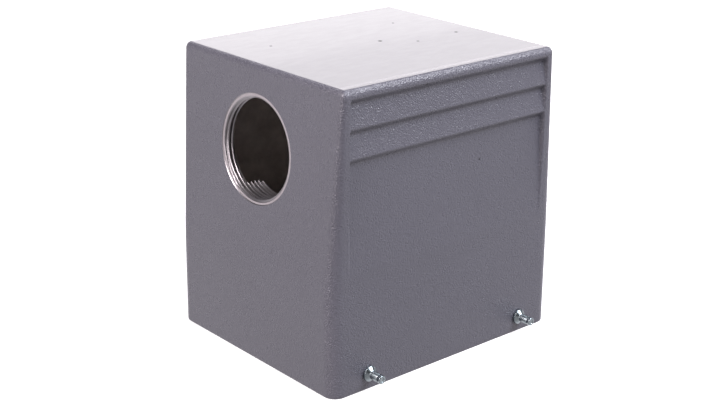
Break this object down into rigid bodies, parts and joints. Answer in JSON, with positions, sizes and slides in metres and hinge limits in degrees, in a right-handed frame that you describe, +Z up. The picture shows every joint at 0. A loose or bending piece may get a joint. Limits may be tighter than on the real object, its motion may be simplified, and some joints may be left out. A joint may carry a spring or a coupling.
{
  "type": "industrial connector hood",
  "caption": "Rectangular die-cast connector hood with a threaded side cable entry, locking pegs and pin inserts held by captive screws inside its open mouth.",
  "frame": {"origin": "middle of the open mouth, in the plane that the hood stands on", "axes": "+Z up from the mouth to the closed top; X along the long sides, with the cable entry in the -X end; pegs on the +Y and -Y sides"},
  "size_m": [0.1068, 0.1026, 0.107],
  "materials": {
    "powder_coat": "fine-grained grey powder coat on die-cast aluminium, satin",
    "zinc_steel": "bright zinc plate on turned steel",
    "grey_plastic": "moulded glass-filled plastic, fine matt",
    "silvered_contact": "silver plate on turned copper alloy",
    "nickel_plate": "nickel plate on stamped metal",
    "bare_aluminium": "machined bare metal of the cable entry's ring and thread"
  },
  "bodies": {
    "root": {"hood_housing": "powder_coat", "locking_peg_front_left": "zinc_steel", "locking_peg_front_right": "zinc_steel", "locking_peg_back_left": "zinc_steel", "locking_peg_back_right": "zinc_steel", "insert_front": "grey_plastic", "insert_back": "grey_plastic", "contact_front_01": "silvered_contact", "contact_front_02": "silvered_contact", "contact_front_03": "silvered_contact", "contact_front_04": "silvered_contact", "contact_front_05": "silvered_contact", "contact_front_06": "silvered_contact", "contact_front_07": "silvered_contact", "contact_front_08": "silvered_contact", "contact_front_09": "silvered_contact", "contact_front_10": "silvered_contact", "contact_front_11": "silvered_contact", "contact_front_12": "silvered_contact", "contact_front_13": "silvered_contact", "contact_front_14": "silvered_contact", "contact_front_15": "silvered_contact", "contact_front_16": "silvered_contact", "contact_back_01": "silvered_contact", "contact_back_02": "silvered_contact", "contact_back_03": "silvered_contact", "contact_back_04": "silvered_contact", "contact_back_05": "silvered_contact", "contact_back_06": "silvered_contact", "contact_back_07": "silvered_contact", "contact_back_08": "silvered_contact", "contact_back_09": "silvered_contact", "contact_back_10": "silvered_contact", "contact_back_11": "silvered_contact", "contact_back_12": "silvered_contact", "contact_back_13": "silvered_contact", "contact_back_14": "silvered_contact", "contact_back_15": "silvered_contact", "contact_back_16": "silvered_contact", "ground_plate_front_left": "nickel_plate", "ground_plate_front_right": "nickel_plate", "ground_plate_back_left": "nickel_plate", "ground_plate_back_right": "nickel_plate"},
    "washer_front_1": {"spring_washer_front_1": "zinc_steel"},
    "screw_front_1": {"fixing_screw_front_1": "zinc_steel"},
    "washer_front_2": {"spring_washer_front_2": "zinc_steel"},
    "screw_front_2": {"fixing_screw_front_2": "zinc_steel"},
    "washer_front_3": {"spring_washer_front_3": "zinc_steel"},
    "screw_front_3": {"fixing_screw_front_3": "zinc_steel"},
    "washer_front_4": {"spring_washer_front_4": "zinc_steel"},
    "screw_front_4": {"fixing_screw_front_4": "zinc_steel"},
    "washer_back_1": {"spring_washer_back_1": "zinc_steel"},
    "screw_back_1": {"fixing_screw_back_1": "zinc_steel"},
    "washer_back_2": {"spring_washer_back_2": "zinc_steel"},
    "screw_back_2": {"fixing_screw_back_2": "zinc_steel"},
    "washer_back_3": {"spring_washer_back_3": "zinc_steel"},
    "screw_back_3": {"fixing_screw_back_3": "zinc_steel"},
    "washer_back_4": {"spring_washer_back_4": "zinc_steel"},
    "screw_back_4": {"fixing_screw_back_4": "zinc_steel"}
  },
  "joints": [
    {"name": "screw_travel_front_1", "type": "slide", "parent": "root", "child": "washer_front_1", "axis": [0, 0, -1], "range_m": [0, 0.0042]},
    {"name": "screw_turn_front_1", "type": "hinge", "parent": "washer_front_1", "child": "screw_front_1", "pos_m": [-0.03875, -0.031, 0.0176], "axis": [0, 0, -1], "range_deg": [0, 2160]},
    {"name": "screw_travel_front_2", "type": "slide", "parent": "root", "child": "washer_front_2", "axis": [0, 0, -1], "range_m": [0, 0.0042]},
    {"name": "screw_turn_front_2", "type": "hinge", "parent": "washer_front_2", "child": "screw_front_2", "pos_m": [-0.03875, -0.004, 0.0176], "axis": [0, 0, -1], "range_deg": [0, 2160]},
    {"name": "screw_travel_front_3", "type": "slide", "parent": "root", "child": "washer_front_3", "axis": [0, 0, -1], "range_m": [0, 0.0042]},
    {"name": "screw_turn_front_3", "type": "hinge", "parent": "washer_front_3", "child": "screw_front_3", "pos_m": [0.03875, -0.031, 0.0176], "axis": [0, 0, -1], "range_deg": [0, 2160]},
    {"name": "screw_travel_front_4", "type": "slide", "parent": "root", "child": "washer_front_4", "axis": [0, 0, -1], "range_m": [0, 0.0042]},
    {"name": "screw_turn_front_4", "type": "hinge", "parent": "washer_front_4", "child": "screw_front_4", "pos_m": [0.03875, -0.004, 0.0176], "axis": [0, 0, -1], "range_deg": [0, 2160]},
    {"name": "screw_travel_back_1", "type": "slide", "parent": "root", "child": "washer_back_1", "axis": [0, 0, -1], "range_m": [0, 0.0042]},
    {"name": "screw_turn_back_1", "type": "hinge", "parent": "washer_back_1", "child": "screw_back_1", "pos_m": [-0.03875, 0.004, 0.0176], "axis": [0, 0, -1], "range_deg": [0, 2160]},
    {"name": "screw_travel_back_2", "type": "slide", "parent": "root", "child": "washer_back_2", "axis": [0, 0, -1], "range_m": [0, 0.0042]},
    {"name": "screw_turn_back_2", "type": "hinge", "parent": "washer_back_2", "child": "screw_back_2", "pos_m": [-0.03875, 0.031, 0.0176], "axis": [0, 0, -1], "range_deg": [0, 2160]},
    {"name": "screw_travel_back_3", "type": "slide", "parent": "root", "child": "washer_back_3", "axis": [0, 0, -1], "range_m": [0, 0.0042]},
    {"name": "screw_turn_back_3", "type": "hinge", "parent": "washer_back_3", "child": "screw_back_3", "pos_m": [0.03875, 0.004, 0.0176], "axis": [0, 0, -1], "range_deg": [0, 2160]},
    {"name": "screw_travel_back_4", "type": "slide", "parent": "root", "child": "washer_back_4", "axis": [0, 0, -1], "range_m": [0, 0.0042]},
    {"name": "screw_turn_back_4", "type": "hinge", "parent": "washer_back_4", "child": "screw_back_4", "pos_m": [0.03875, 0.031, 0.0176], "axis": [0, 0, -1], "range_deg": [0, 2160]}
  ],
  "couplings": [
    {"joint": "screw_turn_front_1", "follows": "screw_travel_front_1", "rad_per_m": 8975},
    {"joint": "screw_turn_front_2", "follows": "screw_travel_front_2", "rad_per_m": 8975},
    {"joint": "screw_turn_front_3", "follows": "screw_travel_front_3", "rad_per_m": 8975},
    {"joint": "screw_turn_front_4", "follows": "screw_travel_front_4", "rad_per_m": 8975},
    {"joint": "screw_turn_back_1", "follows": "screw_travel_back_1", "rad_per_m": 8975},
    {"joint": "screw_turn_back_2", "follows": "screw_travel_back_2", "rad_per_m": 8975},
    {"joint": "screw_turn_back_3", "follows": "screw_travel_back_3", "rad_per_m": 8975},
    {"joint": "screw_turn_back_4", "follows": "screw_travel_back_4", "rad_per_m": 8975}
  ]
}
